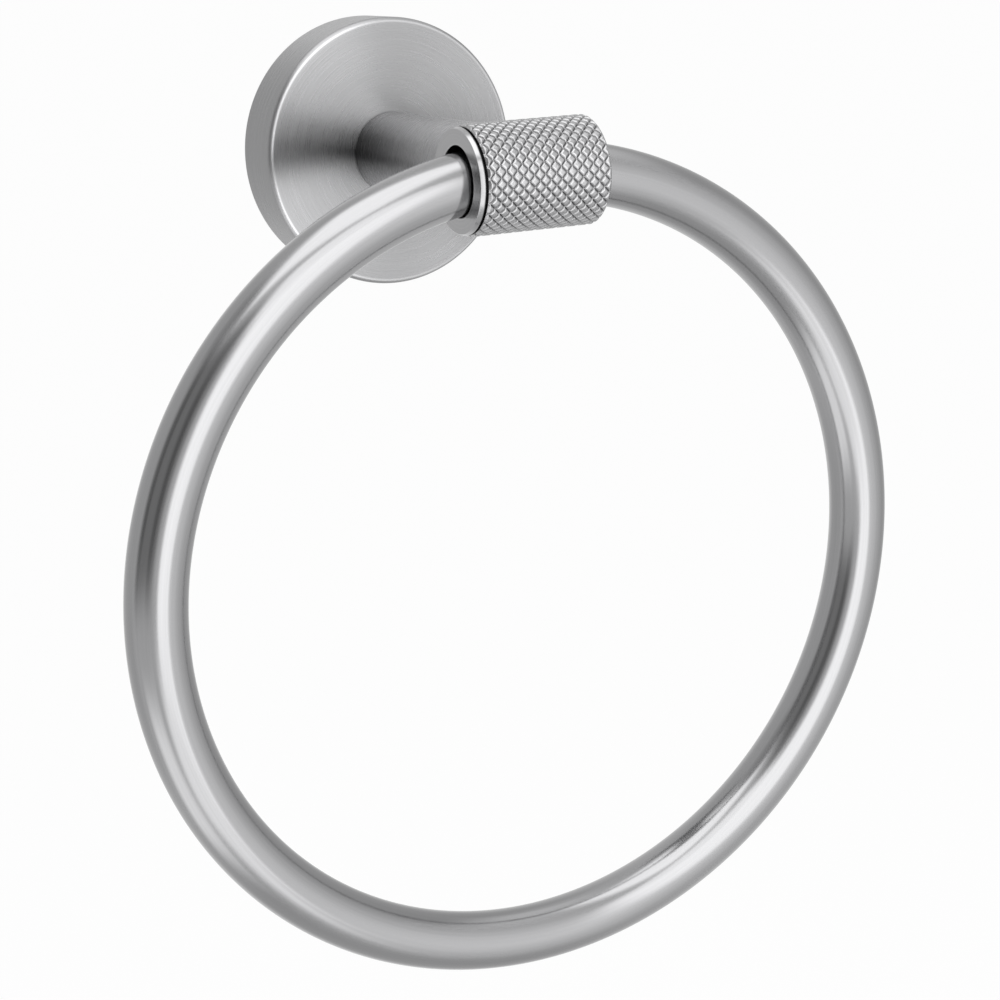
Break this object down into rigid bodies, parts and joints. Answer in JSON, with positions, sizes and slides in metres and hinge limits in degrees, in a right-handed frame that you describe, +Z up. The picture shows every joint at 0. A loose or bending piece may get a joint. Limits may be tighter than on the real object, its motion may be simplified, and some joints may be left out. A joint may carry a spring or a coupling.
{
  "type": "towel ring",
  "caption": "Wall-mounted towel ring: a round rose and post carry a knurled sleeve, and a large tube ring passes through its liner and swings in it.",
  "frame": {"origin": "on the wall, on the axis of the post, at the middle of the bracket's back face", "axes": "+Y goes into the wall, along the post; +Z is up; +X is along the sleeve, from its flanged mouth on the left to its plain end on the right"},
  "size_m": [0.172, 0.0852, 0.194],
  "materials": {
    "bracket_steel": "turned stainless steel, unpolished",
    "rose_steel": "stainless steel, brushed in circles",
    "post_steel": "stainless steel bar, brushed lengthwise",
    "knurl_steel": "stainless steel with a diamond knurl",
    "liner_steel": "turned stainless steel, bright rounded edge",
    "ring_steel": "stainless steel tube, brushed along its length",
    "screw_steel": "plain stainless fasteners"
  },
  "bodies": {
    "wall_side": {"wall_bracket": "bracket_steel", "rose": "rose_steel", "rose_set_screw": "screw_steel", "post_screw": "screw_steel", "post_lock_washer": "screw_steel", "post_locating_pin": "screw_steel", "post": "post_steel", "knurled_sleeve": "knurl_steel", "flanged_liner": "liner_steel", "sleeve_stud": "screw_steel"},
    "ring": {"ring_tube": "ring_steel", "ring_joint_pin": "screw_steel"}
  },
  "joints": [
    {"name": "ring_swing", "type": "hinge", "parent": "wall_side", "child": "ring", "pos_m": [0, -0.0745, 0], "axis": [-1, 0, 0], "range_deg": [-25, 205]}
  ]
}
